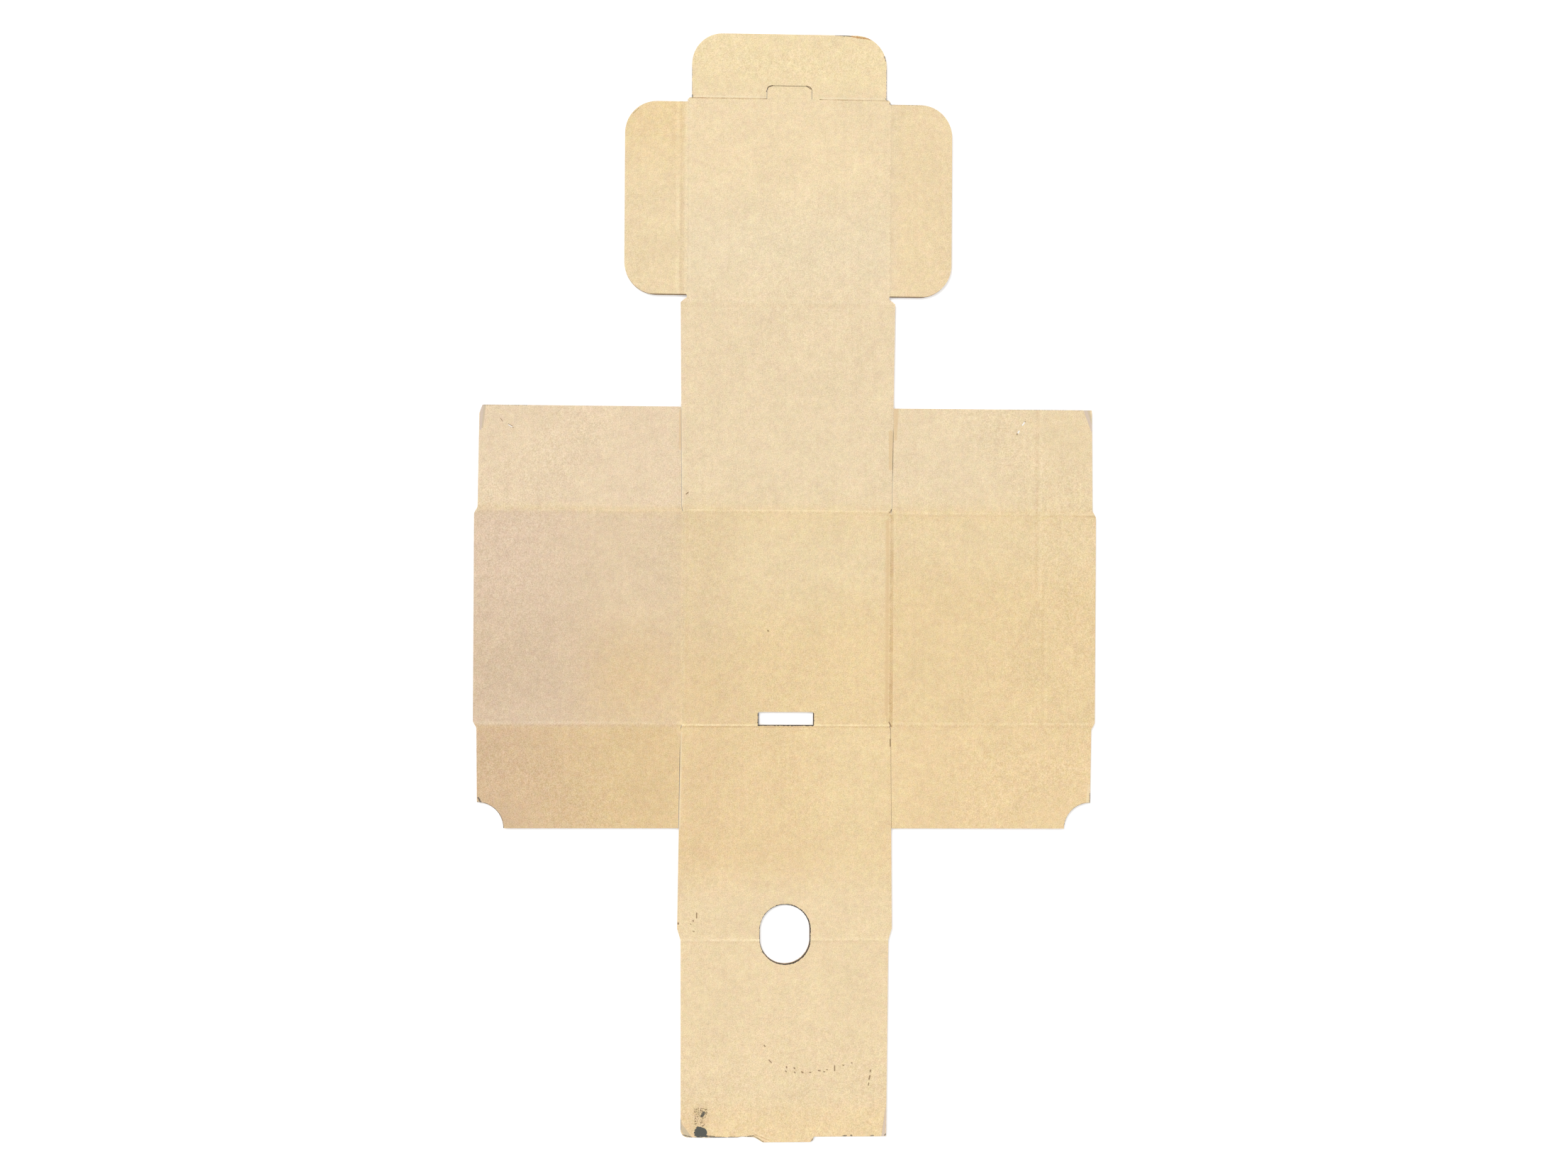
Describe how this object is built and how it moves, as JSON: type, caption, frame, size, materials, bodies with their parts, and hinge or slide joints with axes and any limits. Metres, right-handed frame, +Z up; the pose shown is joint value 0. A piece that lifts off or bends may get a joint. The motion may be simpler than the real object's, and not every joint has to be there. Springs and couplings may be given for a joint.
{
  "type": "flattened cardboard box",
  "caption": "Flattened corrugated mailer blank: base, walls, lid, tuck flap, side flaps and roll-over front, with creased folds, slits, a lock slot and a finger hole.",
  "frame": {"origin": "under the middle of the flat blank, on the surface that it lies on", "axes": "+X across the blank, +Y along the flutes from the roll-over front to the tuck flap, +Z up out of the inside face"},
  "size_m": [0.4652, 0.8278, 0.0033],
  "materials": {
    "kraft_board": "matte brown kraft liner with fine fibre mottling and faint flute lines"
  },
  "bodies": {
    "root": {"box_blank": "kraft_board"}
  },
  "joints": []
}
